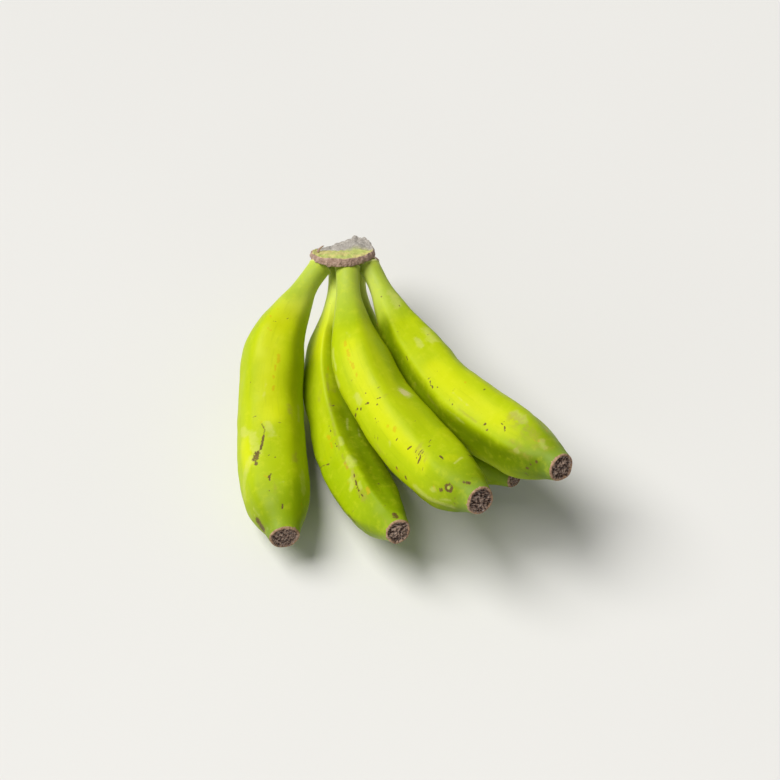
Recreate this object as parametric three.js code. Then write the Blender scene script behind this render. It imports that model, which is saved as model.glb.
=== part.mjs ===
// A hand of green bananas cut from its bunch. The fingers hang from one crown, three in the front
// row and two behind them, and the hand lies on the bellies of the back row like a rocker, with
// its crown and its tips raised. Millimetres, +Z up; the origin is on the floor, under the middle.
import * as THREE from "three";

// The lie of the hand
const LEAN = 55; // degrees that the hanging hand is turned back to lie on its bellies
const ROLL = 0; // degrees that it leans to its right as it lies

// A finger of girth 1
const BELLY_RADIUS = 16.5;
const GIRTH_SHARES = [0, 0.1, 0.19, 0.33, 0.5, 0.7, 0.84, 0.92, 0.97, 1]; // of its length
const GIRTH = [0.33, 0.35, 0.55, 0.86, 0.94, 1, 0.92, 0.71, 0.51, 0.42]; // of the belly's radius
const RIDGES = 5;
const RIDGE_HEIGHT = 0.03; // of the radius, above and below it
const RIDGE_START = 0.3;
const RIDGE_SPAN = [0.14, 0.3, 0.85, 0.97]; // shares where ridges begin, are full, fade and end
const SCAR_RISE = 0.8; // middle of the blossom scar beyond its rim
const SIDES = 20;
const RINGS = 28;

// Each finger's route from crown to tip, in the frame of the hanging hand: +X to the right,
// +Y to the back row, +Z up. A ridge's angle goes round from the finger's right to its front, and
// is taken at RIDGE_START of the finger's length. Its twist is how far it turns in a full length.
const FINGERS = {
  left_finger: {
    girth: 1.13,
    ridge: 128,
    twist: -10,
    route: [[-38, -3, 70], [-50, -10, 49], [-62, -19, 23], [-64, -25, -14], [-61, -44, -48], [-54, -70, -75]],
  },
  rear_left_finger: {
    girth: 0.95,
    ridge: 107,
    twist: -66,
    route: [[-29, 8, 72], [-29, -1, 47], [-33, -9, 14], [-27, -22.5, -25], [-12, -53, -55], [4, -87, -71]],
  },
  middle_finger: {
    girth: 1.07,
    ridge: 142,
    twist: 34,
    route: [[-23, -7, 69], [-22, -18, 46], [-17, -35, 18], [0, -54, -13], [24, -79, -39], [44, -110, -54]],
  },
  right_finger: {
    girth: 1.04,
    ridge: 107,
    twist: 0,
    route: [[-12, -1, 71], [-2, -10, 49], [13, -24, 22], [33, -48, -3], [61, -75, -24], [84, -106, -38]],
  },
  rear_right_finger: {
    girth: 0.91,
    ridge: 110,
    twist: -20,
    route: [[-18, 10, 73], [-18, 9, 49], [-10, 3, 20], [8, -11, -9], [36, -31, -31], [65, -51, -45]],
  },
};

// The crown, a corky wedge that joins the stems. Its underside and its cut face both lean forward.
const CROWN_CENTRE = [-26, 0, 71]; // middle of the underside
const UNDERSIDE_LEAN = 10; // degrees
const CUT_LEAN = 12;
const CROWN_HALF_WIDTH = 16.5;
const CROWN_HALF_DEPTH = 15.5;
const CROWN_SQUARENESS = 2.3; // exponent of its oval outline: 2 is an ellipse
const BAND_HEIGHT = 5; // of the corky band at the front
const BAND_BULGE = 1.05; // girth of the band's middle against its edges
const CREST_HEIGHT = 6; // torn crest at the back right of the cut face
const CREST_PLACE = [0.56, 0.75]; // of the half width and the half depth
const CREST_SPREAD = 0.6; // of the half width
const CROWN_SIDES = 32;
const GAP = 0.3; // between the crown and the stems

const radians = THREE.MathUtils.degToRad;
const BACK = new THREE.Vector3(0, 1, 0);

// A plane under the crown that leans forward by an angle, as its two directions and its normal
function leaningFrame(angle) {
  const across = new THREE.Vector3(1, 0, 0);
  const deep = new THREE.Vector3(0, Math.cos(angle), Math.sin(angle));
  return { across, deep, up: across.clone().cross(deep) };
}

const underside = leaningFrame(radians(UNDERSIDE_LEAN));
const crownCentre = new THREE.Vector3(...CROWN_CENTRE);

// A closed skin over rings of points, with a fan of triangles to a point at each end
function loft(rings, first, last) {
  const sides = rings[0].length;
  const points = [...rings.flat(), first, last];
  const firstIndex = points.length - 2;
  const lastIndex = points.length - 1;
  const faces = [];
  for (let side = 0; side < sides; side++) {
    const next = (side + 1) % sides;
    faces.push(firstIndex, next, side);
    for (let ring = 0; ring < rings.length - 1; ring++) {
      const here = ring * sides;
      const there = here + sides;
      faces.push(here + side, here + next, there + next, here + side, there + next, there + side);
    }
    const end = (rings.length - 1) * sides;
    faces.push(lastIndex, end + side, end + next);
  }
  const skin = new THREE.BufferGeometry().setFromPoints(points);
  skin.setIndex(faces);
  skin.computeVertexNormals();
  return skin;
}

function ridgeStrength(share) {
  const [begin, full, fade, end] = RIDGE_SPAN;
  return THREE.MathUtils.smoothstep(share, begin, full) * (1 - THREE.MathUtils.smoothstep(share, fade, end));
}

// One ring of a finger: a circle across the route, raised at each of the ridges
function fingerRing(centre, tangent, radius, ridge, ridgeAngle) {
  const right = tangent.clone().cross(BACK).normalize();
  const front = tangent.clone().cross(right);
  return Array.from({ length: SIDES }, (_, side) => {
    const angle = (2 * Math.PI * side) / SIDES + ridgeAngle;
    const raised = 1 + ridge * Math.cos(RIDGES * (angle - ridgeAngle));
    return centre
      .clone()
      .addScaledVector(right, radius * raised * Math.cos(angle))
      .addScaledVector(front, radius * raised * Math.sin(angle));
  });
}

// A stem's end is cut off flat, just under the crown
function cutUnderCrown(point, tangent) {
  const height = point.clone().sub(crownCentre).dot(underside.up) + GAP;
  return point.clone().addScaledVector(tangent, -height / tangent.dot(underside.up));
}

function fingerGeometry({ girth, ridge, twist, route }) {
  const spine = new THREE.CatmullRomCurve3(route.map((point) => new THREE.Vector3(...point)));
  const radiusAt = new THREE.CubicInterpolant(GIRTH_SHARES, GIRTH, 1);
  const rings = Array.from({ length: RINGS }, (_, ring) => {
    const share = ring / (RINGS - 1);
    const radius = BELLY_RADIUS * girth * radiusAt.evaluate(share)[0];
    const strength = RIDGE_HEIGHT * ridgeStrength(share);
    const turn = radians(ridge + twist * (share - RIDGE_START));
    return fingerRing(spine.getPointAt(share), spine.getTangentAt(share), radius, strength, turn);
  });
  const root = spine.getPointAt(0);
  const rootTangent = spine.getTangentAt(0);
  rings[0] = rings[0].map((point) => cutUnderCrown(point, rootTangent));
  const tip = spine.getPointAt(1).addScaledVector(spine.getTangentAt(1), SCAR_RISE);
  return loft(rings, cutUnderCrown(root, rootTangent), tip);
}

// Height of the cut face over the underside, at a place across and deep in the crown
function cutHeight(across, deep) {
  const slope = Math.tan(radians(CUT_LEAN - UNDERSIDE_LEAN));
  const [crestAcross, crestDeep] = CREST_PLACE;
  const off = Math.hypot(across / CROWN_HALF_WIDTH - crestAcross, deep / CROWN_HALF_DEPTH - crestDeep);
  const crest = CREST_HEIGHT * Math.exp(-((off / CREST_SPREAD) ** 2));
  return BAND_HEIGHT + slope * (deep + CROWN_HALF_DEPTH) + crest;
}

// A point of the crown, at a share of the way out to its outline and a share of the way up
function crownPoint(angle, out, up) {
  const oval = (cosine, half) => half * Math.sign(cosine) * Math.abs(cosine) ** (2 / CROWN_SQUARENESS);
  const across = out * oval(Math.cos(angle), CROWN_HALF_WIDTH);
  const deep = out * oval(Math.sin(angle), CROWN_HALF_DEPTH);
  return crownCentre
    .clone()
    .addScaledVector(underside.across, across)
    .addScaledVector(underside.deep, deep)
    .addScaledVector(underside.up, up * cutHeight(across, deep));
}

function crownGeometry() {
  const levels = [[0.97, 0], [BAND_BULGE, 0.35], [BAND_BULGE, 0.65], [0.97, 1], [0.6, 1]];
  const rings = levels.map(([out, up]) =>
    Array.from({ length: CROWN_SIDES }, (_, side) => crownPoint((2 * Math.PI * side) / CROWN_SIDES, out, up))
  );
  return loft(rings, crownPoint(0, 0, 0), crownPoint(0, 0, 1));
}

const peel = new THREE.MeshStandardMaterial({ color: 0xb4cc22, roughness: 0.45, metalness: 0 });
const shadedPeel = new THREE.MeshStandardMaterial({ color: 0x7c9410, roughness: 0.5, metalness: 0 });
const cork = new THREE.MeshStandardMaterial({ color: 0x9a8068, roughness: 0.9, metalness: 0 });

function named(name, geometry, material) {
  const mesh = new THREE.Mesh(geometry, material);
  mesh.name = name;
  return mesh;
}

const hand = new THREE.Group();
hand.add(named("crown", crownGeometry(), cork));
for (const [name, finger] of Object.entries(FINGERS)) {
  hand.add(named(name, fingerGeometry(finger), name.startsWith("rear") ? shadedPeel : peel));
}
hand.rotation.set(-radians(LEAN), radians(ROLL), 0, "YXZ");

// Set the hand down on the floor, over the origin
const box = new THREE.Box3().setFromObject(hand, true);
const middle = box.getCenter(new THREE.Vector3());
hand.position.set(-middle.x, -middle.y, -box.min.z);

const bananas = new THREE.Group();
bananas.add(hand);
export default bananas;
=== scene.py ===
"""A hand of green bananas that lies on its bellies: five ridged fingers and the corky crown that
joins their stems, on a plain pale floor. The fingers' and the crown's skins are carried over the
rings of their CAD nodes, so each keeps the place and the girth that the frame gives it. The two
torn fibres have no CAD node."""

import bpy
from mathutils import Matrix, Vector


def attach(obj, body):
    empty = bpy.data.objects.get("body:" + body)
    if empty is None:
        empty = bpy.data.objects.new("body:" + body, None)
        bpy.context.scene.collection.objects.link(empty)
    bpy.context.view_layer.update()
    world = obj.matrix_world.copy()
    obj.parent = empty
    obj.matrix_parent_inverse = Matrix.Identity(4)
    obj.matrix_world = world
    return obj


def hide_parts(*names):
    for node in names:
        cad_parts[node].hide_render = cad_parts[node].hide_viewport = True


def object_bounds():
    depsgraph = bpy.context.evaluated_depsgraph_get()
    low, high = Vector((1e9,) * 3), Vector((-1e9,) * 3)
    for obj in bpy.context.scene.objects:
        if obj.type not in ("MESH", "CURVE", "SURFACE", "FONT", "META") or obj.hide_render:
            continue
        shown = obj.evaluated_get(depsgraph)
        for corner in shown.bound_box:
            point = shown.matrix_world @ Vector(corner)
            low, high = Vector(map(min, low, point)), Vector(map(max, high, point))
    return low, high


bl_info = {
    "name": "Hand of green bananas",
    "version": (1, 0, 0),
    "blender": (4, 5, 0),
    "location": "View3D > Sidebar > Bananas",
    "description": "Builds the looks of a hand of green bananas around its fixed frame",
    "category": "Object",
}

import math
import zlib

import bpy
import numpy as np
from mathutils import Vector

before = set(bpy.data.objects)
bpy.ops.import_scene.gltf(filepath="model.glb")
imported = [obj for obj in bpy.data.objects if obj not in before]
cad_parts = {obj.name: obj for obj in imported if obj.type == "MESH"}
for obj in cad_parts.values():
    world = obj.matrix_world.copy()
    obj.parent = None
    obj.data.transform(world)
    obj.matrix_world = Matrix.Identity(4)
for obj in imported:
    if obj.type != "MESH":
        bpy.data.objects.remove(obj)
CAD_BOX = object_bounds()

MM = 0.001
LEAN = math.radians(55)  # how far the hanging hand is turned back to lie down
BACK = np.array([0, math.cos(LEAN), -math.sin(LEAN)])  # the back row's side of the hand

# How finely the skins are drawn
FINGER_ROWS = 370
LIP_ROWS = 34  # of those, the ones at the rim round a stem's top
FINGER_COLUMNS = 224
SCAR_ROWS = 26
CROWN_ROWS = 130
CROWN_COLUMNS = 300
CROWN_WAVES = 7  # orders of the sine waves that carry the CAD crown's heights round to every column
SLIVER_ROWS = 24
SLIVER_COLUMNS = 12


def linear(code):
    """An sRGB hex colour as linear red, green and blue."""
    parts = [int(code[place:place + 2], 16) / 255 for place in (1, 3, 5)]
    return tuple(
        part / 12.92 if part <= 0.04045 else ((part + 0.055) / 1.055) ** 2.4 for part in parts)


# ---- The fingers, as they grew ----
# A place on a finger is in millimetres along from the crown, and degrees round from the finger's
# right side to its front. A mark is a stroke from one place to another, with its width in
# millimetres, and a ring is a place and a radius.
# ridge: degrees to the first ridge. twist: degrees that the ridges turn in a full length.
# ridges: heights of the five ridges. facets: height of an even wave under them that peaks at
# each. Both are in ridge heights.
# crest, hollow: half width of a ridge, and where the hollow beside it lies, in degrees.
# sink: share of the length that the stem goes on into the crown. flare: how much it widens there,
# and over how many millimetres. shift: millimetres that its top lies further right.
# keel: one sharp ridge more, as its degrees, the shares where it begins and ends, and its height.
# deep: strokes of painted shade, a dark green put where a side lies in shade, turned from the key light or
# under a neighbouring finger. cool: strokes of a bluer green, partly the peel's own tint and partly painted
# shade on sides turned from the key light.
FINGERS = {
    "left_finger": {
        "ridge": 128, "twist": -10, "ridges": (0.35, 0.45, 0.6, 0.6, 0.5), "facets": 0.3,
        "crest": 15, "hollow": 26,
        "sink": 0.010, "flare": (0.01, 6), "shift": 1.3, "keel": (200, 0.5, 0.9, 0.3),
        "rub": [(106, 100, 110, 95, 0.8), (110, 95, 115, 97, 0.9), (115, 97, 123, 102, 1.6),
                (125, 109, 128, 112, 3.6), (130, 111, 132, 111, 2), (127, 88, 128, 92, 0.9),
                (129, 79, 129, 79, 1.2), (143, 92, 141, 87, 1.1), (142, 89, 145, 91, 0.9),
                (151, 95, 151, 95, 1), (157, 84, 157, 84, 1), (159, 72, 161, 74, 1.1),
                (159, 163, 163, 166, 5.6), (161, 164, 161, 164, 3)],
        "freckle": [(62, 77, 65, 75, 2), (73, 82, 74, 82, 1.6), (79, 81, 81, 82, 1.6),
                    (67, 80, 70, 80, 1)],
        "smudge": [(92, 54, 103, 52, 3), (125, 41, 130, 43, 5)],
        "wax": [(106, 142, 112, 116, 6), (112, 116, 124, 108, 6), (127, 120, 138, 143, 6),
                (138, 143, 144, 160, 5), (106, 90, 113, 85, 5), (90, 29, 100, 31, 4),
                (136, 24, 147, 16, 6), (167, 144, 167, 144, 2.5), (155, 158, 155, 158, 2)],
        "sunny": [(115, 135, 128, 126, 9), (30, 100, 60, 100, 14), (60, 90, 100, 85, 12)],
        "cool": [(150, 30, 168, 60, 16), (6, 90, 24, 120, 14)],
    },
    "rear_left_finger": {
        "ridge": 107, "twist": -66, "ridges": (1.5, 0.5, 0.5, 0.4, 0.5), "facets": 0.5,
        "crest": 8, "hollow": -25,
        "sink": 0.010, "flare": (0.08, 6), "shift": 0, "keel": (190, 0.5, 0.9, 0.3),
        # deep: painted shade on the right facet, under the middle finger, and on the left side, under the
        # left finger
        "deep": [(45, 70, 95, 50, 10), (95, 50, 180, 26, 19), (115, 178, 175, 168, 10)],
        "rub": [(103, 103, 104, 102, 0.9), (106, 101, 108, 101, 0.9), (126, 128, 123, 143, 1.1),
                (123, 143, 121, 158, 0.8), (118, 97, 121, 96, 0.8), (147, 86, 149, 87, 0.8),
                (152, 88, 160, 89, 1.3), (163, 89, 165, 88, 0.8),
                (160, 43, 160, 43, 1.2), (160, 147, 163, 147, 1.4),
                (163, 150, 165, 152, 1.6), (185, 49, 187, 49, 3), (90, 88, 90, 88, 0.9)],
        "freckle": [(66, 91, 69, 91, 1), (110, 109, 112, 107, 2), (116, 107, 119, 106, 1.8),
                    (135, 93, 140, 93, 1.4), (164, 71, 167, 74, 1.8)],
        "smudge": [(60, 94, 150, 92, 1.5), (142, 88, 168, 89, 4)],
        "wax": [(135, 82, 140, 82, 6), (148, 96, 153, 99, 5), (117, 85, 122, 85, 3),
                (156, 82, 160, 82, 3)],
        "sunny": [(30, 120, 120, 128, 10)],
        "cool": [(170, 60, 186, 60, 20), (70, 150, 180, 140, 22)],
    },
    "middle_finger": {
        "ridge": 142, "twist": 34, "ridges": (0.5, 0.5, 0.4, 0.4, 0.5), "facets": 0.35,
        "crest": 14, "hollow": 26,
        "sink": 0.004, "flare": (0.14, 20), "shift": -0.2, "keel": (190, 0.84, 0.99, 1.7),
        # deep: painted shade on the facet beyond the keel, along the lower edge
        "deep": [(60, 200, 180, 200, 10), (150, 196, 182, 194, 8)],
        "scuff": [(98, 38, 100, 36, 5.5)],
        "rub": [(94, 116, 95, 110, 1.3), (94, 129, 94, 129, 1.6), (92, 135, 92, 140, 1.6),
                (93, 144, 93, 152, 1.6), (89, 105, 89, 105, 0.9), (100, 97, 100, 97, 1.3),
                (97, 92, 98, 86, 0.8), (105, 113, 105, 113, 0.9), (135, 95, 134, 102, 1.1),
                (124, 103, 124, 107, 0.9), (146, 96, 146, 106, 1.3), (140, 63, 141, 67, 0.9),
                (144, 71, 144, 74, 0.9), (155, 68, 158, 67, 1.3), (160, 11, 160, 5, 1.2),
                (167, 123, 167, 123, 2.6), (141, 148, 140, 145, 1.4), (133, 145, 132, 143, 1),
                (176, 73, 178, 64, 1.8), (140, 97, 140, 93, 0.7), (143, 95, 143, 85, 0.7),
                (145, 97, 145, 85, 0.7), (143, 102, 144, 93, 0.7), (147, 93, 147, 87, 0.7)],
        "ring": [(171, 109, 1.7)],
        "freckle": [(56, 106, 58, 108, 2), (62, 105, 64, 105, 2.4), (70, 104, 72, 105, 1.8),
                    (76, 104, 77, 105, 1.4), (119, 96, 119, 96, 3), (114, 103, 114, 103, 2),
                    (132, 145, 134, 146, 1.4)],
        "smudge": [(140, 88, 148, 94, 6)],
        "wax": [(97, 39, 101, 35, 7.5), (56, 142, 67, 142, 2.5), (70, 149, 74, 150, 4),
                (164, 55, 162, 33, 1.4), (162, 130, 162, 130, 4), (171, 109, 171, 109, 2),
                (86, 124, 90, 124, 4), (150, 150, 172, 165, 5)],
        "sunny": [(159, 58, 161, 47, 5), (60, 100, 150, 100, 9)],
        "cool": [(2, 100, 40, 90, 16), (60, 30, 130, 25, 8)],
    },
    "right_finger": {
        "ridge": 107, "twist": 0, "ridges": (1.2, 0.5, 0.4, 0.4, 0.4), "facets": 0.6,
        "crest": 9, "hollow": 25,
        "sink": 0.010, "flare": (0.08, 9), "shift": -1.2, "keel": (20, 0.5, 0.9, 0.3),
        # deep: painted shade on the lower left facet
        "deep": [(45, 140, 120, 138, 13), (120, 138, 180, 138, 14)],
        "rub": [(93, 98, 93, 102, 0.9), (95, 102, 97, 105, 0.9), (98, 104, 99, 105, 1),
                (101, 99, 101, 99, 1.1), (112, 99, 112, 99, 1.1), (115, 101, 115, 101, 1.2),
                (111, 70, 111, 70, 0.8), (122, 47, 122, 44, 1.1), (72, 111, 74, 112, 0.9),
                (53, 101, 53, 101, 1.3), (26, 103, 26, 103, 1.2), (139, 96, 139, 96, 1.8),
                (143, 101, 143, 101, 1.6), (151, 79, 153, 85, 1.1), (172, 141, 172, 141, 2),
                (174, 127, 174, 127, 1.4), (170, 159, 171, 165, 1.1), (177, 113, 177, 113, 1.7),
                (145, 4, 148, 3, 2.5), (147, 78, 149, 79, 0.8)],
        "freckle": [(110, 57, 110, 57, 1.4), (172, 59, 172, 59, 1.5), (166, 17, 168, 18, 1.6)],
        "smudge": [(150, 55, 175, 60, 8), (160, 100, 172, 105, 5)],
        "wax": [(26, 56, 34, 61, 7), (60, 44, 70, 49, 6), (65, 74, 71, 76, 4), (165, 105, 167, 107, 2.4),
                (149, 46, 157, 48, 6), (173, 56, 176, 63, 4)],
        "sunny": [(155, 80, 159, 79, 7), (169, 65, 172, 64, 6), (90, 80, 150, 75, 12)],
        "cool": [(55, 20, 100, 12, 12), (10, 60, 40, 50, 12)],
    },
    "rear_right_finger": {
        "ridge": 110, "twist": -20, "ridges": (0.6, 0.5, 0.4, 0.5, 0.4), "facets": 0.4,
        "crest": 14, "hollow": 26,
        "sink": 0.010, "flare": (0.08, 6), "shift": 0, "keel": (200, 0.5, 0.9, 0.3),
        # deep: painted shade over its front, which lies in the shade of the fingers above it
        "deep": [(40, 90, 165, 90, 22), (110, 90, 172, 90, 40)],
        "rub": [(150, 150, 153, 152, 1.2), (120, 200, 128, 205, 1.5)],
        "freckle": [(90, 230, 96, 228, 2)],
        "smudge": [(100, 120, 140, 120, 5)],
        "wax": [(80, 250, 95, 255, 6)],
        "sunny": [(60, 240, 120, 250, 14)],
        "cool": [(40, 110, 160, 115, 20)],
    },
}

# Of these, deep is painted shade, and cool is partly the peel's own bluer green and partly painted shade.
MARK_KINDS = ("rub", "freckle", "smudge", "wax", "sunny", "cool", "deep", "scuff")
# Marks that are strewn over every finger besides: how many, longest and widest, in millimetres
STREWN = {"rub": (40, 1.2, 0.9), "freckle": (14, 2.5, 1.3), "smudge": (10, 14, 3), "wax": (10, 14, 3)}
STREWN_STRENGTH = 0.7

# ---- Shapes ----
RIDGES = 5
RIDGE_START = 0.3  # share of a finger's length where its ridges' degrees are given
CREST_PART = 0.6  # of a ridge's height, that it stands over the flats
HOLLOW_PART = 0.3  # of a ridge's height, that the hollow beside a ridge of height 1 sinks
HOLLOW_WIDTH = 15  # degrees from the middle of the hollow beside a ridge to where it has mostly risen
KEEL_WIDTH = 9  # the same for a keel
KEEL_HOLLOW = 17  # degrees from a keel to the hollow beside it
KEEL_PART = 0.7  # of a keel's height, that its hollow sinks
STEM_TOP = 0.03  # share of a finger's length that holds the rim at the stem's top
SHIFT_REACH = 9  # millimetres over which a shifted stem comes back to its line
RING_WIDTH = 1.7  # millimetres from a ring scar's line to where it has faded out
LIP_HEIGHT = 0.35 * MM  # of the rim round a stem's top
LIP_PLACE = 3.2  # millimetres from the stem's cut to that rim
LIP_WIDTH = 0.8
NECK = 0.84  # girth of the stem inside the crown, against its girth below the rim
LONG_LUMP = 38 * MM
SHORT_LUMP = 14 * MM
RUB_DEPTH = 0.07 * MM
SCAR_LIP = 0.35 * MM  # the scar's raised rim over its hollow
SCAR_RISE = 0.8 * MM  # from the peel's last ring to the rim
SCAR_HOLLOW = 0.75 * MM
SCAR_KNOB = 0.5 * MM  # the scar's middle over its hollow
SCAR_LUMPS = 0.32 * MM

# The crown's profile from the middle of its underside to the middle of its cut face: a share of
# the way out to the outline, a share of the way up to the cut face, and a rise in millimetres
CROWN_PROFILE = np.array([
    (0, 0, -2.2), (0.45, 0, -2.2), (0.72, 0, -1.7), (0.83, 0, -0.6), (0.9, 0, 0.5), (0.98, 0, 0.2),
    (1.02, 0.1, 0), (1.03, 0.35, 0), (1.02, 0.65, 0), (1.0, 0.88, 0), (0.975, 0.98, 0.1),
    (0.94, 1, 0), (0.89, 1, -0.4), (0.72, 1, -0.7), (0.4, 1, -0.7), (0, 1, -0.5),
])
COLLAR_ENDS = 0.3  # share of the profile's stations where the green underside ends
BAND_ENDS = 0.7  # and where the corky band gives way to the cut face
SHOULDER = 1.6  # millimetres that the crest's left shoulder rises over the CAD crown
SHOULDER_TURN = math.radians(88)  # round the crown from its right side, by way of its back
FRONT_TURN = math.radians(257)
FRONT_DROP = 2.2  # millimetres that the cut face dips at the front
BAND_DIP = 1.9  # the same for the band's lower edge
BAND_LIFT = 2.2  # millimetres that the band's lower edge is higher at the sides
LAYER = 0.12 * MM  # depth of the band's layers
LAYER_STEP = 0.75 * MM  # their height, over 2 pi
LOWER_LIP = (0.35, 0.035)  # place and width, in shares of the profile, of the band's lower edge
UPPER_LIP = (0.66, 0.04)

# Torn fibres: where each starts, inside the band, and where its tip is, in millimetres
SLIVERS = {
    "right_fibre": ((-15.4, 74, 58.2), (-9.8, 73.2, 55.9)),
    "left_fibre": ((-43.8, 80.4, 54.0), (-40.2, 83.4, 56.4)),
}
SLIVER_SIZE = np.array([0.8, 0.5])  # half its width and half its thickness, in millimetres
SLIVER_BOW = 0.12  # of its length

# ---- The stage ----
# The point that the camera looks at, as shares of the CAD box: right of the crown, a
# little behind the middle and low over the floor
AIM_SHARES = np.array([0.477, 0.5958, 0.1347])
FLOOR_REACH = 4.0  # metres from the middle to each side
KEY_SIDE = (-0.5, 0.1, 0.86)  # where the soft key light comes from
FILL_OFFSET = np.array([-0.7, -0.9, 0.5])  # from the aim to the fill light, in metres
FILL_SIZE = 0.9
WORLD_STRENGTH = 0.2


class FingerSettings(bpy.types.PropertyGroup):
    """Sizes and colours of the fingers."""

    peel: bpy.props.FloatVectorProperty(
        name="Peel", description="Green of the peel on a finger's belly",
        default=linear("#A8BC00"), subtype="COLOR", min=0, max=1)
    sunny: bpy.props.FloatVectorProperty(
        name="Sunny peel", description="Yellower green, where a finger turns towards ripe",
        default=linear("#CCD40A"), subtype="COLOR", min=0, max=1)
    # Cool peel is partly the peel's own bluer green and partly painted shade on the sides turned from the key
    # light.
    cool: bpy.props.FloatVectorProperty(
        name="Cool peel", description="Bluer green of the stems, the tips and the shaded sides",
        default=linear("#90AA04"), subtype="COLOR", min=0, max=1)
    # Deep peel is painted shade: a dark green for the sides that lie in shade, turned from the key light or
    # under a neighbouring finger.
    deep: bpy.props.FloatVectorProperty(
        name="Deep peel", description="Dark green of the sides that face away from the sun",
        default=linear("#5C7400"), subtype="COLOR", min=0, max=1)
    stem: bpy.props.FloatVectorProperty(
        name="Stem", description="Pale green of the stems",
        default=linear("#CCD968"), subtype="COLOR", min=0, max=1)
    ridge_height: bpy.props.FloatProperty(
        name="Ridge height", description="One ridge height, which each finger's own numbers multiply",
        default=1.1 * MM, unit="LENGTH")
    lump_height: bpy.props.FloatProperty(
        name="Lump height", description="How far the peel swells and sinks along a finger",
        default=0.22 * MM, unit="LENGTH")


class CrownSettings(bpy.types.PropertyGroup):
    """Sizes and colours of the crown."""

    cork: bpy.props.FloatVectorProperty(
        name="Cork", description="Brown of the corky band",
        default=linear("#BB9F8E"), subtype="COLOR", min=0, max=1)
    flesh: bpy.props.FloatVectorProperty(
        name="Flesh", description="Yellowish green of the cut face",
        default=linear("#B2BC66"), subtype="COLOR", min=0, max=1)
    dried: bpy.props.FloatVectorProperty(
        name="Dried flesh", description="Grey of the dried back of the cut face",
        default=linear("#B0ABA4"), subtype="COLOR", min=0, max=1)
    tear_height: bpy.props.FloatProperty(
        name="Tear height", description="How jagged the torn crest is",
        default=0.6 * MM, unit="LENGTH")


class StageSettings(bpy.types.PropertyGroup):
    """The floor, the lights and the camera."""

    floor: bpy.props.FloatVectorProperty(
        name="Floor", description="Colour of the plain floor",
        default=linear("#D9D9D7"), subtype="COLOR", min=0, max=1)
    elevation: bpy.props.FloatProperty(
        name="Elevation", description="How steeply the camera looks down",
        default=LEAN, subtype="ANGLE", unit="ROTATION")
    distance: bpy.props.FloatProperty(
        name="Distance", description="From the camera to the point that it looks at",
        default=1.0, unit="LENGTH")
    lens: bpy.props.FloatProperty(
        name="Focal length", description="Focal length on a 36 mm sensor, in millimetres", default=83.9)
    key_strength: bpy.props.FloatProperty(
        name="Key light", description="Watts per square metre of the soft light overhead", default=3.6)
    key_softness: bpy.props.FloatProperty(
        name="Key softness", description="How wide the soft light looks from the floor",
        default=math.radians(40), subtype="ANGLE", unit="ROTATION")
    fill_power: bpy.props.FloatProperty(
        name="Fill light", description="Power of the weak light in front", default=1.6, unit="POWER")


# ---- Arithmetic on whole arrays ----

def smooth(low, high, value):
    """0 below low, 1 above high, and a smooth cubic step between."""
    share = np.clip((value - low) / (high - low), 0, 1)
    return share * share * (3 - 2 * share)


def bell(value, middle, width):
    """1 at the middle, falling on both sides as the exponential of minus the square of the
    distance over the width."""
    return np.exp(-(((value - middle) / width) ** 2))


def through(stations, shares):
    """Values at shares of the way along evenly spaced stations, on the Catmull-Rom curve that
    passes through them all: each stretch is the cubic whose end slopes are half the difference
    of the stations on either side."""
    before, after = 2 * stations[:1] - stations[1:2], 2 * stations[-1:] - stations[-2:-1]
    padded = np.concatenate([before, stations, after])
    spot = shares * (len(stations) - 1)
    first = np.clip(spot.astype(int), 0, len(stations) - 2)
    part = (spot - first).reshape(-1, *[1] * (stations.ndim - 1))
    a, b, c, d = (padded[first + step] for step in range(4))
    return b + 0.5 * part * (c - a + part * (2 * a - 5 * b + 4 * c - d + part * (3 * (b - c) + d - a)))


def unit(vectors):
    """Vectors, each divided by its own length."""
    return vectors / np.linalg.norm(vectors, axis=-1, keepdims=True)


def ripple(points, size, seed, waves=24):
    """A smooth random height at each point, about 1 high: the sum of sine waves whose directions,
    lengths and phases are random, with lengths near the given size."""
    draw = np.random.default_rng(seed)
    ways = unit(draw.normal(size=(waves, 3))) * (2 * math.pi / size * draw.uniform(0.6, 1.5, (waves, 1)))
    phases = draw.uniform(0, 2 * math.pi, waves)
    total = np.zeros(points.shape[:-1])
    for way, phase in zip(ways, phases):
        total += np.sin(points @ way + phase)
    return total * math.sqrt(2 / waves)


def seed_of(name):
    """A seed that is the same for a name on each run."""
    return zlib.crc32(name.encode())


# ---- From the frame ----

def read_rings(node, start_side):
    """The rings of a CAD node that is one skin over rings, with a fan of triangles at each end.
    The fans' middles are the two corners with the most neighbours. Beginning at the one nearer
    the start side, the unseen neighbours of each ring are the next ring.
    Gives the rings' corners in a list, and the two middles."""
    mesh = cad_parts[node].data
    corners = np.empty(len(mesh.vertices) * 3)
    mesh.vertices.foreach_get("co", corners)
    corners = corners.reshape(-1, 3)
    used = np.empty(len(mesh.loops), int)
    mesh.loops.foreach_get("vertex_index", used)
    weld = 0.005 * MM
    _, first, same = np.unique(
        np.round(corners / weld).astype(int), axis=0, return_index=True, return_inverse=True)
    corners = corners[first]
    faces = same.reshape(-1)[used].reshape(-1, 3)
    joined = np.zeros((len(corners), len(corners)), bool)
    for one, other in ((0, 1), (1, 2), (2, 0)):
        joined[faces[:, one], faces[:, other]] = True
        joined[faces[:, other], faces[:, one]] = True
    middles = np.argsort(joined.sum(1))[-2:]
    start, end = sorted(middles, key=lambda middle: -float(corners[middle] @ np.array(start_side)))
    rings = []
    seen = np.zeros(len(corners), bool)
    seen[[start, end]] = True
    ring = joined[start] & ~seen
    while ring.any():
        rings.append(corners[ring])
        seen |= ring
        ring = joined[ring].any(0) & ~seen
    return rings, corners[start], corners[end]


# ---- From arrays to objects ----

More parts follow.
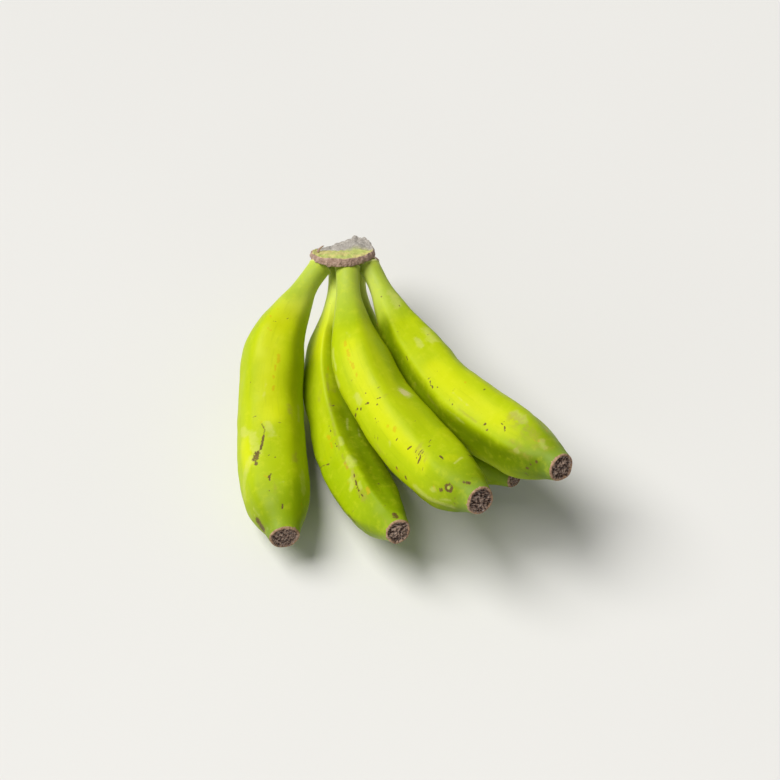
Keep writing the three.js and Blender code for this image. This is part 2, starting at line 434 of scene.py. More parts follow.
def skin_object(name, grid, first, last, materials, fields, face_kind=None):
    """An object whose mesh is a closed skin over a grid of points: rows go from one end to the
    other, columns go round, and a fan closes each end on its own point. Faces point outwards
    where the columns go round by the right hand from the first end to the last.
    fields holds a number or a vector for each grid point, by attribute name. face_kind gives the
    material of the quads below each row, column by column."""
    rows, columns = grid.shape[:2]
    here = np.arange(rows * columns).reshape(rows, columns)
    there = np.roll(here, -1, axis=1)
    quads = np.stack([here[:-1], there[:-1], there[1:], here[1:]], axis=-1).reshape(-1, 4)
    start, end = rows * columns, rows * columns + 1
    opening = np.stack([np.full(columns, start), there[0], here[0]], axis=-1)
    closing = np.stack([np.full(columns, end), here[-1], there[-1]], axis=-1)
    points = np.concatenate([grid.reshape(-1, 3), [first, last]])
    mesh = bpy.data.meshes.new(name)
    mesh.from_pydata(points.tolist(), [], quads.tolist() + opening.tolist() + closing.tolist())
    for material in materials:
        mesh.materials.append(material)
    if face_kind is not None:
        kinds = np.concatenate([face_kind.reshape(-1), face_kind[0], face_kind[-1]])
        mesh.polygons.foreach_set("material_index", kinds.astype(np.int32))
    for title, values in fields.items():
        flat = values.reshape(rows * columns, -1)
        flat = np.concatenate([flat, flat[:1], flat[-1:]]).astype(np.float32)
        kind = "FLOAT" if flat.shape[1] == 1 else "FLOAT_VECTOR"
        entry = mesh.attributes.new(title, kind, "POINT")
        entry.data.foreach_set("value" if kind == "FLOAT" else "vector", flat.reshape(-1))
    mesh.shade_smooth()
    mesh.update()
    made = bpy.data.objects.new(name, mesh)
    bpy.context.scene.collection.objects.link(made)
    return made


# ---- Materials ----

def add_node(tree, kind, inputs=(), **settings):
    """Adds a node with its settings. inputs holds a value, or the output of another node to link,
    for each socket by its name or number, or for the first sockets in their order."""
    made = tree.nodes.new(kind)
    for name, value in settings.items():
        setattr(made, name, value)
    for name, value in inputs.items() if isinstance(inputs, dict) else enumerate(inputs):
        if isinstance(value, bpy.types.NodeSocket):
            tree.links.new(value, made.inputs[name])
        else:
            made.inputs[name].default_value = value
    return made


# Numbers of the Mix node's sockets: its factor, its two colours and their mix
FACTOR, FIRST, SECOND, MIXED = 0, 6, 7, 2
SMOOTH_STEP = {"interpolation_type": "SMOOTHSTEP"}
EDGE_WEIGHT = 1.6  # how strongly a noise frays a mark's edge


def coated(tree, below, above, field, *step):
    """One colour over another, each a colour or a socket. The field is the upper one's share. Where
    a step is given, as low, high, bottom and top, the share goes smoothly from bottom to top
    instead, or from 0 to 1, as the field goes from low to high."""
    if step:
        field = add_node(tree, "ShaderNodeMapRange", (field, *step), **SMOOTH_STEP).outputs["Result"]
    inputs = {FACTOR: field}
    for number, side in ((FIRST, below), (SECOND, above)):
        inputs[number] = side if isinstance(side, bpy.types.NodeSocket) else (*side, 1)
    return add_node(tree, "ShaderNodeMix", inputs, data_type="RGBA").outputs[MIXED]


def grain(tree, place, size, detail=3.0, roughness=0.55, stretch=(1, 1, 1)):
    """A noise whose lumps are about a size across, in metres, at a place."""
    moved = add_node(tree, "ShaderNodeMapping", {"Vector": place, "Scale": stretch}).outputs["Vector"]
    inputs = {"Vector": moved, "Scale": 1 / size, "Detail": detail, "Roughness": roughness}
    return add_node(tree, "ShaderNodeTexNoise", inputs).outputs["Fac"]


def edged(tree, field, noise, low, high, top=1.0):
    """A ragged-edged mark: a field that fades outwards, shifted by a noise, then stepped up to a
    top. The step is moved by the noise's mean, which is half its weight."""
    ragged = add_node(tree, "ShaderNodeMath", (noise, EDGE_WEIGHT, field), operation="MULTIPLY_ADD")
    step = (ragged.outputs[0], low + EDGE_WEIGHT / 2, high + EDGE_WEIGHT / 2, 0.0, top)
    return add_node(tree, "ShaderNodeMapRange", step, **SMOOTH_STEP).outputs["Result"]


def new_material(name):
    """A material with an empty tree."""
    material = bpy.data.materials.new(name)
    material.use_nodes = True
    material.node_tree.nodes.clear()
    return material, material.node_tree


def surfaced(tree, inputs, height=None, strength=0.0, depth=0.0):
    """Ends a tree in a principled shader with its inputs and, where a height is given, a fine
    relief of a depth."""
    if height is not None:
        relief = {"Height": height, "Strength": strength, "Distance": depth}
        inputs["Normal"] = add_node(tree, "ShaderNodeBump", relief).outputs["Normal"]
    shader = add_node(tree, "ShaderNodeBsdfPrincipled", inputs)
    add_node(tree, "ShaderNodeOutputMaterial", {"Surface": shader.outputs["BSDF"]})


def waxy_banana_peel(look):
    """Green banana peel, grown: a thin natural wax over leathery skin. It gives a broad soft sheen over a
    green that drifts to yellow, with rubbed brown marks and pale scuffs, and with painted shade in a dark
    green on the sides that lie in shade. A real peel's grain is finer than the finest noise here, which is
    drawn 1 mm across so that it shows."""
    material, tree = new_material("waxy_banana_peel")
    place = add_node(tree, "ShaderNodeAttribute", attribute_name="straightened").outputs["Vector"]
    marks = {kind: add_node(tree, "ShaderNodeAttribute", attribute_name=kind).outputs["Fac"]
             for kind in ("share", *MARK_KINDS)}
    share = marks["share"]
    drift = grain(tree, place, 40 * MM, 2.0, stretch=(1, 1, 0.4))
    fine = grain(tree, place, 1.0 * MM, 4.0, 0.65)
    patches = grain(tree, place, 4 * MM, 4.0, 0.6)
    # Long faint streaks run from stem to tip, where the skin grew
    streaks = grain(tree, place, 1.8 * MM, 3.0, 0.6, stretch=(1, 1, 0.06))
    stem_rim = [add_node(tree, "ShaderNodeMapRange", (share, *step), **SMOOTH_STEP).outputs["Result"]
                for step in ((0.012, 0.016, 0.0, 0.7), (0.018, 0.022, 1.0, 0.0))]
    stem_rim = add_node(tree, "ShaderNodeMath", stem_rim, operation="MULTIPLY").outputs[0]
    worn = edged(tree, marks["wax"], patches, 0.2, 1.2)
    scuff = edged(tree, marks["scuff"], fine, 0.4, 0.8, 0.75)
    # Marks break up where the patches are thin
    broken = add_node(tree, "ShaderNodeMapRange", (patches, 0.32, 0.6, 0.55, 1.15), **SMOOTH_STEP)
    thinned = add_node(tree, "ShaderNodeMapRange", (patches, 0.35, 0.65), **SMOOTH_STEP)
    freckle, rub, smudge = (
        add_node(tree, "ShaderNodeMath", (marks[kind], by.outputs["Result"]), operation="MULTIPLY").outputs[0]
        for kind, by in (("freckle", broken), ("rub", broken), ("smudge", thinned)))
    freckle = edged(tree, freckle, fine, 0.3, 0.75, 0.45)
    rub = edged(tree, rub, fine, 0.4, 0.85, 0.9)
    bruise = coated(tree, linear("#3A2618"), linear("#6E4C30"), fine, 0.35, 0.65)
    # From the skin up: a colour, the field that says where it lies, and the step of its share
    colour = look.peel
    for above, field, *step in (
        (look.sunny, drift, 0.36, 0.64, 0.0, 0.3),
        (look.sunny, marks["sunny"], 0.0, 1.0, 0.0, 0.7),
        (look.stem, share, 0.06, 0.26, 0.9, 0.0),
        (look.cool, share, 0.74, 1.0, 0.0, 0.7),
        # Darker towards the tips in the same dark green, then painted shade along the deep strokes, where a
        # side lies in shade.
        (look.deep, share, 0.82, 1.0, 0.0, 0.6),
        (look.deep, marks["deep"], 0.0, 1.0, 0.0, 0.8),
        (linear("#7E9A40"), share, 0.955, 1.0, 0.0, 0.5),
        # The cool strokes: partly the peel's own bluer green, partly painted shade on sides turned from the
        # key light.
        (look.cool, marks["cool"], 0.0, 1.0, 0.0, 0.6),
        (linear("#E4E8A0"), stem_rim),
        (linear("#84983C"), share, 0.009, 0.014, 0.8, 0.0),
        (linear("#728F00"), streaks, 0.5, 0.75, 0.0, 0.15),
        (linear("#D8DA30"), patches, 0.48, 0.75, 0.0, 0.2),
        (linear("#D0CF80"), worn, 0.0, 1.0, 0.0, 0.3),
        (linear("#CFC48C"), scuff),
        (linear("#C89800"), freckle),
        (linear("#8C7A3C"), smudge, 0.0, 1.0, 0.0, 0.4),
        (bruise, rub),
    ):
        colour = coated(tree, colour, above, field, *step)
    sheen = (grain(tree, place, 8 * MM, 2.0), 0.3, 0.7, 0.44, 0.58)
    gloss = add_node(tree, "ShaderNodeMapRange", sheen, **SMOOTH_STEP).outputs["Result"]
    dulled = add_node(tree, "ShaderNodeMath", (worn, 0.2, gloss), operation="MULTIPLY_ADD")
    relief = add_node(tree, "ShaderNodeMath", (streaks, 0.6, fine), operation="MULTIPLY_ADD")
    surfaced(tree, {
        "Base Color": colour, "Roughness": dulled.outputs[0], "IOR": 1.4, "Specular IOR Level": 0.22,
        "Subsurface Weight": 0.1, "Subsurface Radius": (0.9, 1.0, 0.1), "Subsurface Scale": 2 * MM,
    }, relief.outputs[0], 0.2, 0.1 * MM)
    return material


def blossom_scar_cork():
    """Dried cork on a finger's end, where its flower dropped off: matt, cracked and lumpy, with
    a light rim."""
    material, tree = new_material("blossom_scar_cork")
    place = add_node(tree, "ShaderNodeAttribute", attribute_name="straightened").outputs["Vector"]
    knob, around = (add_node(tree, "ShaderNodeAttribute", attribute_name=name).outputs["Fac"]
                    for name in ("knob", "rim"))
    lumps = grain(tree, place, 1.5 * MM, 4.0, 0.65)
    fine = grain(tree, place, 0.45 * MM, 3.0)
    colour = coated(tree, linear("#4C3628"), linear("#B09684"), knob, -0.9, 0.9)
    colour = coated(tree, colour, linear("#5E463A"), lumps, 0.42, 0.6, 0.7, 0.0)
    colour = coated(tree, colour, linear("#CFC8C4"), fine, 0.52, 0.7, 0.0, 0.6)
    rim = coated(tree, linear("#8A6A50"), linear("#BC9A7C"), lumps, 0.35, 0.65)
    colour = coated(tree, colour, rim, around)
    surfaced(tree, {"Base Color": colour, "Roughness": 0.88}, fine, 0.6, 0.25 * MM)
    return material


def dried_crown_cork(look):
    """The crown's skin, dried to cork: matt brown, with lumps and a lighter torn edge."""
    material, tree = new_material("dried_crown_cork")
    place = add_node(tree, "ShaderNodeTexCoord").outputs["Object"]
    lip, dried = (add_node(tree, "ShaderNodeAttribute", attribute_name=name).outputs["Fac"]
                  for name in ("lip", "dried"))
    lumps = grain(tree, place, 2.6 * MM, 4.0, 0.65)
    fine = grain(tree, place, 0.7 * MM, 4.0, 0.65)
    colour = coated(tree, linear("#8E7262"), look.cork, lumps, 0.35, 0.65, 0.0, 0.75)
    colour = coated(tree, colour, linear("#D0B8A6"), fine, 0.5, 0.75, 0.0, 0.6)
    colour = coated(tree, colour, linear("#DDBB98"), lip, 0.2, 1.0, 0.0, 0.55)
    colour = coated(tree, colour, look.dried, dried, 0.2, 1.0, 0.0, 0.8)
    relief = add_node(tree, "ShaderNodeMath", (lumps, 1.5, fine), operation="MULTIPLY_ADD")
    surfaced(tree, {"Base Color": colour, "Roughness": 0.85}, relief.outputs[0], 0.6, 0.35 * MM)
    return material


def cut_crown_flesh(look):
    """The crown's cut face: fibrous flesh that is still green and yellow in front and has dried
    to grey at the back. It is nearly matt."""
    material, tree = new_material("cut_crown_flesh")
    place = add_node(tree, "ShaderNodeTexCoord").outputs["Object"]
    dried = add_node(tree, "ShaderNodeAttribute", attribute_name="dried").outputs["Fac"]
    patches = grain(tree, place, 6 * MM, 3.0)
    fine = grain(tree, place, 0.8 * MM, 4.0, 0.6)
    fresh = coated(tree, look.flesh, linear("#CBBE78"), patches, 0.4, 0.62, 0.0, 0.8)
    fresh = coated(tree, fresh, linear("#A58A4A"), fine, 0.6, 0.8, 0.0, 0.3)
    grey = coated(tree, linear("#8E8880"), look.dried, fine, 0.35, 0.7)
    grey = coated(tree, grey, linear("#CFCBC2"), patches, 0.5, 0.75, 0.0, 0.6)
    grey = coated(tree, grey, linear("#E6E2DA"), fine, 0.62, 0.72, 0.0, 0.5)
    dull = add_node(tree, "ShaderNodeMapRange", (fine, 0.3, 0.7, 0.55, 0.8), **SMOOTH_STEP)
    inputs = {"Base Color": coated(tree, fresh, grey, dried), "Roughness": dull.outputs["Result"]}
    surfaced(tree, inputs, fine, 0.5, 0.3 * MM)
    return material


def green_stem_collar(look):
    """The green collar between the stems, under the crown: the same waxy skin, unripe and plain."""
    material, tree = new_material("green_stem_collar")
    place = add_node(tree, "ShaderNodeTexCoord").outputs["Object"]
    patches = grain(tree, place, 5 * MM, 3.0)
    fine = grain(tree, place, 0.9 * MM, 3.0)
    colour = coated(tree, look.cool, look.stem, patches, 0.4, 0.65)
    colour = coated(tree, colour, linear("#B9B06A"), fine, 0.62, 0.85, 0.0, 0.3)
    dull = add_node(tree, "ShaderNodeMapRange", (fine, 0.3, 0.7, 0.42, 0.55), **SMOOTH_STEP)
    surfaced(tree, {"Base Color": colour, "Roughness": dull.outputs["Result"], "IOR": 1.45})
    return material


def painted_board(look):
    """A plain matt board, painted off-white. Its tone drifts too faintly to read as a pattern."""
    material, tree = new_material("painted_board")
    tone = grain(tree, add_node(tree, "ShaderNodeTexCoord").outputs["Object"], 0.4, 2.0)
    colour = coated(tree, look.floor, (1, 1, 1), tone, 0.3, 0.7, 0.0, 0.04)
    surfaced(tree, {"Base Color": colour, "Roughness": 0.9})
    return material


# ---- The fingers ----

def stroke_mask(along, degrees, girth, mark):
    """How strongly a stroke marks each place of a finger: 1 on the stroke's line over the peel, a
    half at its half width, and a smooth step down to 0 at its full width. along and girth are in
    millimetres, girth being the finger's radius there."""
    start, start_turn, end, end_turn, width = mark
    across = np.radians((degrees - start_turn + 180) % 360 - 180) * girth
    down = along - start
    length, swing = end - start, np.radians(end_turn - start_turn) * girth
    reach = np.maximum(length**2 + swing**2, 1e-6)
    share = np.clip((down * length + across * swing) / reach, 0, 1)
    return 1 - smooth(0, width, np.hypot(down - share * length, across - share * swing))


def ring_mask(along, degrees, girth, mark):
    """A ring round a place: 1 where the distance to the place is its radius."""
    place, turn, radius = mark
    across = np.radians((degrees - turn + 180) % 360 - 180) * girth
    away = np.abs(np.hypot(along - place, across) - radius)
    return 1 - smooth(0, RING_WIDTH, away)


def strewn_marks(kind, length, draw):
    """Small marks of a kind at random places, mostly drawn out along the finger."""
    count, longest, widest = STREWN[kind]
    start = draw.uniform(0.14, 0.97, count) * length
    turn = draw.uniform(0, 360, count)
    reach = draw.uniform(0, longest, count)
    swing = draw.uniform(-8, 8, count)
    width = draw.uniform(0.45, 1, count) * widest
    return np.stack([start, turn, np.minimum(start + reach, length), turn + swing, width], axis=1)


def blemishes(name, along, degrees, girth, length):
    """The strength of each kind of mark at each place of a finger, by kind."""
    draw = np.random.default_rng(seed_of(name))
    found = {}
    for kind in MARK_KINDS:
        mask = np.zeros(along.shape)
        for mark in FINGERS[name].get(kind, ()):
            mask = np.maximum(mask, stroke_mask(along, degrees, girth, mark))
        if kind in STREWN:
            for mark in strewn_marks(kind, length, draw):
                mask = np.maximum(mask, STREWN_STRENGTH * stroke_mask(along, degrees, girth, mark))
        found[kind] = mask
    for mark in FINGERS[name].get("ring", ()):
        found["rub"] = np.maximum(found["rub"], ring_mask(along, degrees, girth, mark))
    return found


def ridge_relief(name, shares, degrees):
    """How far the skin stands out at each place, from about -1 to 1.4 ridge heights: a rounded
    crest at each of five ridges, a hollow beside the tall ones, and broad flats between."""
    grown = FINGERS[name]
    phase = degrees - grown["ridge"] - grown["twist"] * (shares - RIDGE_START)
    relief = grown["facets"] * np.cos(np.radians(RIDGES * phase))
    for number, height in enumerate(grown["ridges"]):
        off = (phase - 360 / RIDGES * number + 180) % 360 - 180
        crest = bell(off, 0, grown["crest"])
        hollow = bell(off, grown["hollow"], HOLLOW_WIDTH)
        relief = relief + height * (CREST_PART * crest - HOLLOW_PART * height * hollow)
    turn, start, end, height = grown["keel"]
    off = (degrees - turn + 180) % 360 - 180
    along = smooth(start - 0.12, start + 0.08, shares) * (1 - smooth(end - 0.06, end + 0.03, shares))
    keel = bell(off, 0, KEEL_WIDTH) - KEEL_PART * bell(off, -KEEL_HOLLOW, KEEL_WIDTH)
    relief = relief + height * along * keel
    return relief * smooth(0.1, 0.3, shares) * (1 - smooth(0.86, 0.98, shares))


def finger_spine(name, shares):
    """The middle of a finger, its direction and its radius, at shares of the way from its stem's
    cut to its scar. All three pass through those of the CAD node's rings."""
    rings, _, _ = read_rings(name, start_side=(0, 1, 0))
    centres = np.array([ring.mean(0) for ring in rings])
    ways = unit(np.gradient(centres, axis=0))
    spokes = [ring - centre for ring, centre in zip(rings, centres)]
    flat = [spoke - np.outer(spoke @ way, way) for spoke, way in zip(spokes, ways)]
    radii = np.array([np.linalg.norm(spoke, axis=1).mean() for spoke in flat])
    inside = np.clip(shares, 0, 1)
    middle = through(centres, inside)
    direction = unit(np.gradient(middle[shares >= 0], axis=0))
    missing = (shares < 0).sum()
    direction = np.concatenate([np.repeat(direction[:1], missing, axis=0), direction])
    length = np.linalg.norm(np.diff(centres, axis=0), axis=1).sum()
    middle = middle + direction * ((shares - inside) * length)[:, None]
    return middle, direction, through(radii, inside), length


def finger_object(name, look, materials):
    """A finger's skin: each point is the spine's, plus its radius times the direction round it,
    raised by ridges and lumps. The end turns over a lip to a rough scar. The stem goes on a little
    into the crown and widens there."""
    grown = FINGERS[name]
    shares = np.concatenate([np.linspace(-grown["sink"], STEM_TOP, LIP_ROWS, endpoint=False),
                             np.linspace(STEM_TOP, 1, FINGER_ROWS - LIP_ROWS)])
    middle, direction, radius, length = finger_spine(name, shares)
    right = unit(np.cross(direction, BACK))
    front = np.cross(direction, right)
    turn = np.linspace(0, 2 * math.pi, FINGER_COLUMNS, endpoint=False)
    spokes = np.cos(turn)[None, :, None] * right[:, None] + np.sin(turn)[None, :, None] * front[:, None]
    share = np.repeat(shares[:, None], FINGER_COLUMNS, axis=1)
    degrees = np.degrees(np.repeat(turn[None], FINGER_ROWS, axis=0))
    seed = seed_of(name)

    # The stem's top: it widens to the crown, ends in a rim, and goes on inside, rounded off
    flare, reach = grown["flare"]
    down = shares * length / MM
    outside = np.maximum(down, 0)
    radius = radius * (1 + flare * bell(outside, 0, reach))
    middle[:, 0] += grown["shift"] * MM * bell(outside, 0, SHIFT_REACH)
    radius = radius + LIP_HEIGHT * bell(down, LIP_PLACE, LIP_WIDTH)
    radius = radius * (NECK + (1 - NECK) * smooth(LIP_PLACE - 1.3, LIP_PLACE - 0.3, down))
    radius = radius * np.sqrt(np.clip((down - down[0]) / 0.8, 0.02, 1))
    plain = middle[:, None] + radius[:, None, None] * spokes
    lumps = ripple(plain, LONG_LUMP, seed) + 0.4 * ripple(plain, SHORT_LUMP, seed + 1)
    relief = look.ridge_height * ridge_relief(name, share, degrees)
    relief = relief + look.lump_height * lumps * smooth(0.02, 0.25, share) * (1 - smooth(0.93, 1, share))
    edge = ripple(plain, 1.8 * MM, seed + 2)[-1]
    girth = np.repeat(radius[:, None], FINGER_COLUMNS, axis=1) / MM
    marks = blemishes(name, share * length / MM, degrees, girth, length / MM)
    relief = relief - RUB_DEPTH * marks["rub"]
    peel = plain + relief[..., None] * spokes

    # The scar: out over the rim, down into a hollow ring, and a lumpy middle
    part = np.linspace(0, 1, SCAR_ROWS + 1)[1:-1]
    out = 1 - part**1.2
    rise = SCAR_LIP * bell(part, 0.14, 0.1) + SCAR_RISE * smooth(0, 0.25, part)
    rise = rise - SCAR_HOLLOW * smooth(0.16, 0.34, part) + SCAR_KNOB * smooth(0.35, 1, part)
    swell = 1 + 0.03 * bell(part, 0.1, 0.12)
    lobes = 0.03 * np.cos(5 * turn + seed) + 0.03 * np.cos(3 * turn + 2 * seed)
    lobed = smooth(0, 0.1, part)[:, None] * smooth(0, 0.4, 1 - part)[:, None]
    swell = swell[:, None] * (1 + lobes * lobed)
    flat = middle[-1] + (radius[-1] * out[:, None] * swell)[..., None] * spokes[-1][None]
    rough = 0.8 * ripple(flat, 2.4 * MM, seed + 3) + 0.8 * ripple(flat, 1.2 * MM, seed + 4)
    height = rise[:, None] + SCAR_LUMPS * rough * smooth(0.12, 0.35, part)[:, None]
    scar = flat + height[..., None] * direction[-1]
    grid = np.concatenate([peel, scar])
    grid[..., 2] = np.maximum(grid[..., 2], 0)

    # Straightened: the same finger with its spine pulled straight, so patterns run along it
    none = np.zeros((len(part), FINGER_COLUMNS))
    reach = np.concatenate([girth * MM, (radius[-1] * out)[:, None] + none])
    straight = np.stack([reach * np.cos(turn), reach * np.sin(turn),
                         np.concatenate([share * length, none + length])], axis=-1)
    rim = 1 - smooth(0.13, 0.3, part[:, None] + 0.04 * edge[None])
    fields = {kind: np.concatenate([mask, none]) for kind, mask in marks.items()}
    fields["share"] = np.concatenate([share, none + 1])
    fields["straightened"] = straight
    fields["rim"] = np.concatenate([np.ones_like(share), rim])
    fields["knob"] = np.concatenate([np.zeros_like(share), rough])
    corky = np.zeros((len(grid) - 1, FINGER_COLUMNS), int)
    to_scar = (np.arange(len(grid) - 1)[:, None] - FINGER_ROWS + 1.5 + 0.4 * edge[None]) > 0
    corky[to_scar] = 1
    tip = grid[-1].mean(0)
    return skin_object(name + "_peel", grid, middle[0], tip, materials, fields, corky)


class BANANAS_OT_fingers(bpy.types.Operator):
    """Build the five bananas, each as one skin from its stem to its blossom scar"""

    bl_idname = "bananas.fingers"
    bl_label = "Fingers"

    def execute(self, context):
        look = context.scene.banana_fingers
        materials = [waxy_banana_peel(look), blossom_scar_cork()]
        for name in FINGERS:
            finger = finger_object(name, look, materials)
            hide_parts(name)
            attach(finger, "root")
        return {"FINISHED"}


# ---- The crown ----

def crown_object(look, materials):
    """The crown's skin: a profile is carried round an oval outline. Each point is the underside's
    middle, plus a share of the outline's reach, plus a share of the height of the CAD crown's cut
    face there and the profile's own rise. Cork and torn flesh are roughened by ripples."""
    rings, bottom, top = read_rings("crown", start_side=(0, -1, -1))
    up = unit(top - bottom)
    across = np.array([1.0, 0, 0])
    deep = np.cross(up, across)
    turn = np.linspace(0, 2 * math.pi, CROWN_COLUMNS, endpoint=False)

    def by_turn(ring, sizes):
        """Sizes of a CAD ring's corners, at each column's turn round the middle, on the smooth
        sum of sine waves that fits them best."""
        def waves(turns):
            steps = np.outer(turns, np.arange(CROWN_WAVES))
            return np.concatenate([np.cos(steps), np.sin(steps[:, 1:])], axis=1)

        angle = np.arctan2((ring - bottom) @ deep, (ring - bottom) @ across)
        weights = np.linalg.lstsq(waves(angle), sizes, rcond=None)[0]
        return waves(turn) @ weights

    half_width = np.ptp(rings[1] @ across) / 2
    half_depth = np.ptp(rings[1] @ deep) / 2
    outline = 1 / np.hypot(np.cos(turn) / half_width, np.sin(turn) / half_depth)
    rim_height = by_turn(rings[3], (rings[3] - bottom) @ up)
    inner_height = by_turn(rings[4], (rings[4] - bottom) @ up)
    middle_height = (top - bottom) @ up
    rim_height = rim_height + SHOULDER * MM * bell(turn, SHOULDER_TURN, 0.45)

    station = np.linspace(0, 1, CROWN_ROWS + 2)[1:-1]
    out, lift, rise = through(CROWN_PROFILE, station).T
    out = np.maximum(out, 0.004)
    spread = np.repeat(out[:, None], CROWN_COLUMNS, axis=1)
    inner = smooth(0, 0.6, spread)
    outer = smooth(0.55, 0.97, spread)
    cut = middle_height + (inner_height - middle_height) * inner + (rim_height - inner_height) * outer
    front = smooth(0, 1, np.cos(turn - FRONT_TURN))
    drop = MM * FRONT_DROP * front * smooth(0.3, 1, spread)
    foot = MM * (BAND_LIFT * np.cos(turn) ** 2 - BAND_DIP * front) * smooth(0.88, 1, spread)
    height = lift[:, None] * (cut - drop) + (1 - lift[:, None]) * foot + rise[:, None] * MM
    ways = np.cos(turn)[:, None] * across + np.sin(turn)[:, None] * deep
    flat = bottom + (spread * outline)[..., None] * ways
    plain = flat + height[..., None] * up

    band = smooth(COLLAR_ENDS - 0.03, COLLAR_ENDS + 0.03, station) * (
        1 - smooth(BAND_ENDS - 0.03, BAND_ENDS + 0.03, station))
    face = smooth(BAND_ENDS - 0.02, BAND_ENDS + 0.04, station)
    fibres = ripple(flat + 0.25 * height[..., None] * up, 2.4 * MM, 11)
    lumps = ripple(plain, 4.5 * MM, 12)
    fine = ripple(plain, 1.3 * MM, 13)
    layers = LAYER * np.sin(height / LAYER_STEP + 1.2 * fibres)
    push = band[:, None] * (MM * (0.08 * fibres + 0.11 * lumps + 0.08 * fine) + layers)
    lower_lip = bell(station, *LOWER_LIP)[:, None]
    upper_lip = bell(station, *UPPER_LIP)[:, None]
    ragged = ripple(flat, 5 * MM, 14) + 0.5 * ripple(flat, 2 * MM, 15)
    raise_by = MM * (0.22 * lower_lip - 0.16 * upper_lip) * ragged
    crest = smooth(1.5, 5, (cut - rim_height.min()) / MM) * smooth(0.5, 0.95, spread)
    torn = look.tear_height * (0.55 * ripple(flat, 6 * MM, 16) + 0.45 * ripple(flat, 2.2 * MM, 17))
    raise_by = raise_by + torn * crest * smooth(0.56, 0.68, station)[:, None]
    raise_by = raise_by + face[:, None] * MM * (0.22 * lumps + 0.1 * fine)
    grid = plain + push[..., None] * ways + raise_by[..., None] * up

    depth = (flat - bottom) @ deep
    sideways = (flat - bottom) @ across
    inward = depth + 0.3 * np.minimum(sideways, 4 * MM) + MM * ripple(flat, 8 * MM, 18)
    dried = smooth(-0.8 * MM, 5.6 * MM, inward) * smooth(0.45, 0.6, station)[:, None]
    lip = np.clip(lower_lip + 0.8 * upper_lip, 0, 1) * np.clip(0.65 + 0.5 * ragged, 0, 1)
    kind = np.zeros((len(grid) - 1, CROWN_COLUMNS), int)
    edge = 0.012 * ragged[:-1]
    kind[station[:-1, None] + edge > COLLAR_ENDS] = 1
    kind[station[:-1, None] + 0.6 * edge > BAND_ENDS] = 2
    fields = {"dried": dried, "lip": lip}
    return skin_object("crown_cork", grid, grid[0].mean(0), grid[-1].mean(0), materials, fields, kind)


def sliver_object(name, start, end, material):
    """A torn fibre: an oval carried from one point to another along a bowed line, its radius the
    square root of what is left of its length."""
    share = np.linspace(0, 0.985, SLIVER_ROWS)
    start, end = np.array(start) * MM, np.array(end) * MM
    way = unit(end - start)
    side = unit(np.cross(way, BACK))
    other = np.cross(way, side)
    bow = SLIVER_BOW * np.linalg.norm(end - start) * np.sin(math.pi * share)[:, None] * side
    line = start + (end - start) * share[:, None] + bow
    turn = np.linspace(0, 2 * math.pi, SLIVER_COLUMNS, endpoint=False)
    wide, thick = SLIVER_SIZE * MM
    oval = wide * np.cos(turn)[:, None] * side + thick * np.sin(turn)[:, None] * other
    taper = np.sqrt(1 - share) * (1 + 0.15 * np.sin(9 * share))
    grid = line[:, None] + taper[:, None, None] * oval[None]
    zero = np.zeros(grid.shape[:2])
    return skin_object(name, grid, line[0], end, [material], {"dried": zero + 0.3, "lip": zero + 0.2})


class BANANAS_OT_crown(bpy.types.Operator):
    """Build the crown: green collar, corky band, cut face and torn crest"""

    bl_idname = "bananas.crown"
    bl_label = "Crown"

    def execute(self, context):
        look = context.scene.banana_crown
        materials = [green_stem_collar(context.scene.banana_fingers), dried_crown_cork(look),
                     cut_crown_flesh(look)]
        crown = crown_object(look, materials)
        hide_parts("crown")
        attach(crown, "root")
        return {"FINISHED"}


class BANANAS_OT_torn_fibres(bpy.types.Operator):
    """Build the torn fibres that stand out at the ends of the crown's band"""

    bl_idname = "bananas.torn_fibres"
    bl_label = "Torn fibres"

    def execute(self, context):
        cork = dried_crown_cork(context.scene.banana_crown)
        for name, (start, end) in SLIVERS.items():
            fibre = sliver_object(name, start, end, cork)
            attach(fibre, "root")
        return {"FINISHED"}


# ---- The stage ----

def area_light(name, place, aim, size, power):
    """A square, soft, white light at a place, turned to a point."""
    data = bpy.data.lights.new(name, "AREA")
    data.size = size
    data.energy = power
    made = bpy.data.objects.new(name, data)
    made.location = place
    made.rotation_euler = (Vector(aim) - Vector(place)).to_track_quat("-Z", "Y").to_euler()
    bpy.context.scene.collection.objects.link(made)


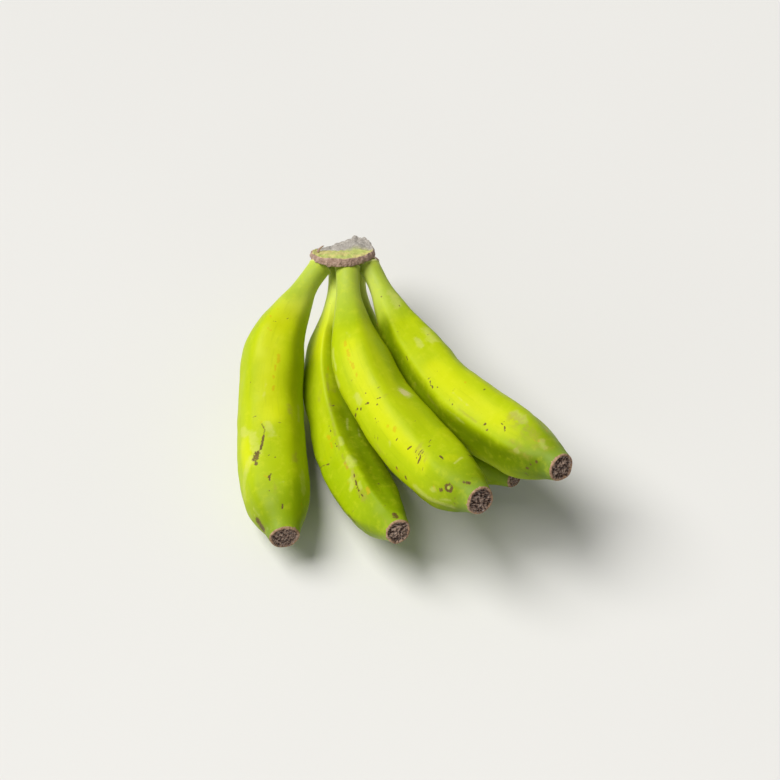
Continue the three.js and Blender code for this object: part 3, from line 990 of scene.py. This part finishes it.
class BANANAS_OT_stage(bpy.types.Operator):
    """Set the pale floor, the soft lights and the camera"""

    bl_idname = "bananas.stage"
    bl_label = "Stage"

    def execute(self, context):
        look = context.scene.banana_stage
        low, high = (np.array(corner) for corner in CAD_BOX)
        aim = low + (high - low) * AIM_SHARES

        floor_mesh = bpy.data.meshes.new("floor")
        corners = [(side * FLOOR_REACH, end * FLOOR_REACH, 0)
                   for side, end in ((-1, -1), (1, -1), (1, 1), (-1, 1))]
        floor_mesh.from_pydata(corners, [], [(0, 1, 2, 3)])
        floor_mesh.materials.append(painted_board(look))
        floor = bpy.data.objects.new("floor", floor_mesh)
        context.scene.collection.objects.link(floor)

        sun = bpy.data.lights.new("key_light", "SUN")
        sun.energy = look.key_strength
        sun.angle = look.key_softness
        sun.color = (1, 0.98, 0.95)
        key = bpy.data.objects.new("key_light", sun)
        key.rotation_euler = Vector(KEY_SIDE).to_track_quat("Z", "Y").to_euler()
        context.scene.collection.objects.link(key)
        area_light("fill_light", aim + FILL_OFFSET, aim, FILL_SIZE, look.fill_power)
        world = bpy.data.worlds.new("studio")
        world.use_nodes = True
        background = world.node_tree.nodes["Background"]
        background.inputs["Color"].default_value = (1, 1, 1, 1)
        background.inputs["Strength"].default_value = WORLD_STRENGTH
        context.scene.world = world
        context.scene.view_settings.view_transform = "Standard"

        data = bpy.data.cameras.new("camera")
        data.sensor_width = 36
        data.lens = look.lens
        camera = bpy.data.objects.new("camera", data)
        ray = np.array([0, -math.cos(look.elevation), math.sin(look.elevation)])
        camera.location = aim + look.distance * ray
        camera.rotation_euler = Vector(-ray).to_track_quat("-Z", "Y").to_euler()
        context.scene.collection.objects.link(camera)
        context.scene.camera = camera
        return {"FINISHED"}


class BANANAS_PT_hand(bpy.types.Panel):
    """Lists the operators and the sizes and colours that they use"""

    bl_label = "Hand of bananas"
    bl_space_type = "VIEW_3D"
    bl_region_type = "UI"
    bl_category = "Bananas"

    def draw(self, context):
        layout = self.layout
        for maker, settings in STEPS:
            layout.operator(maker.bl_idname)
            group = getattr(context.scene, settings)
            for name in group.bl_rna.properties.keys():
                if name not in ("name", "rna_type"):
                    layout.prop(group, name)


STEPS = (
    (BANANAS_OT_fingers, "banana_fingers"),
    (BANANAS_OT_crown, "banana_crown"),
    (BANANAS_OT_torn_fibres, "banana_crown"),
    (BANANAS_OT_stage, "banana_stage"),
)
SETTINGS = {
    "banana_fingers": FingerSettings,
    "banana_crown": CrownSettings,
    "banana_stage": StageSettings,
}
CLASSES = (*SETTINGS.values(), *[maker for maker, _ in STEPS], BANANAS_PT_hand)


def register():
    for entry in CLASSES:
        bpy.utils.register_class(entry)
    for name, group in SETTINGS.items():
        setattr(bpy.types.Scene, name, bpy.props.PointerProperty(type=group))


def unregister():
    for name in SETTINGS:
        delattr(bpy.types.Scene, name)
    for entry in reversed(CLASSES):
        bpy.utils.unregister_class(entry)


def main():
    register()
    bpy.ops.bananas.fingers()
    bpy.ops.bananas.crown()
    bpy.ops.bananas.torn_fibres()
    bpy.ops.bananas.stage()


if __name__ == "__main__":
    main()
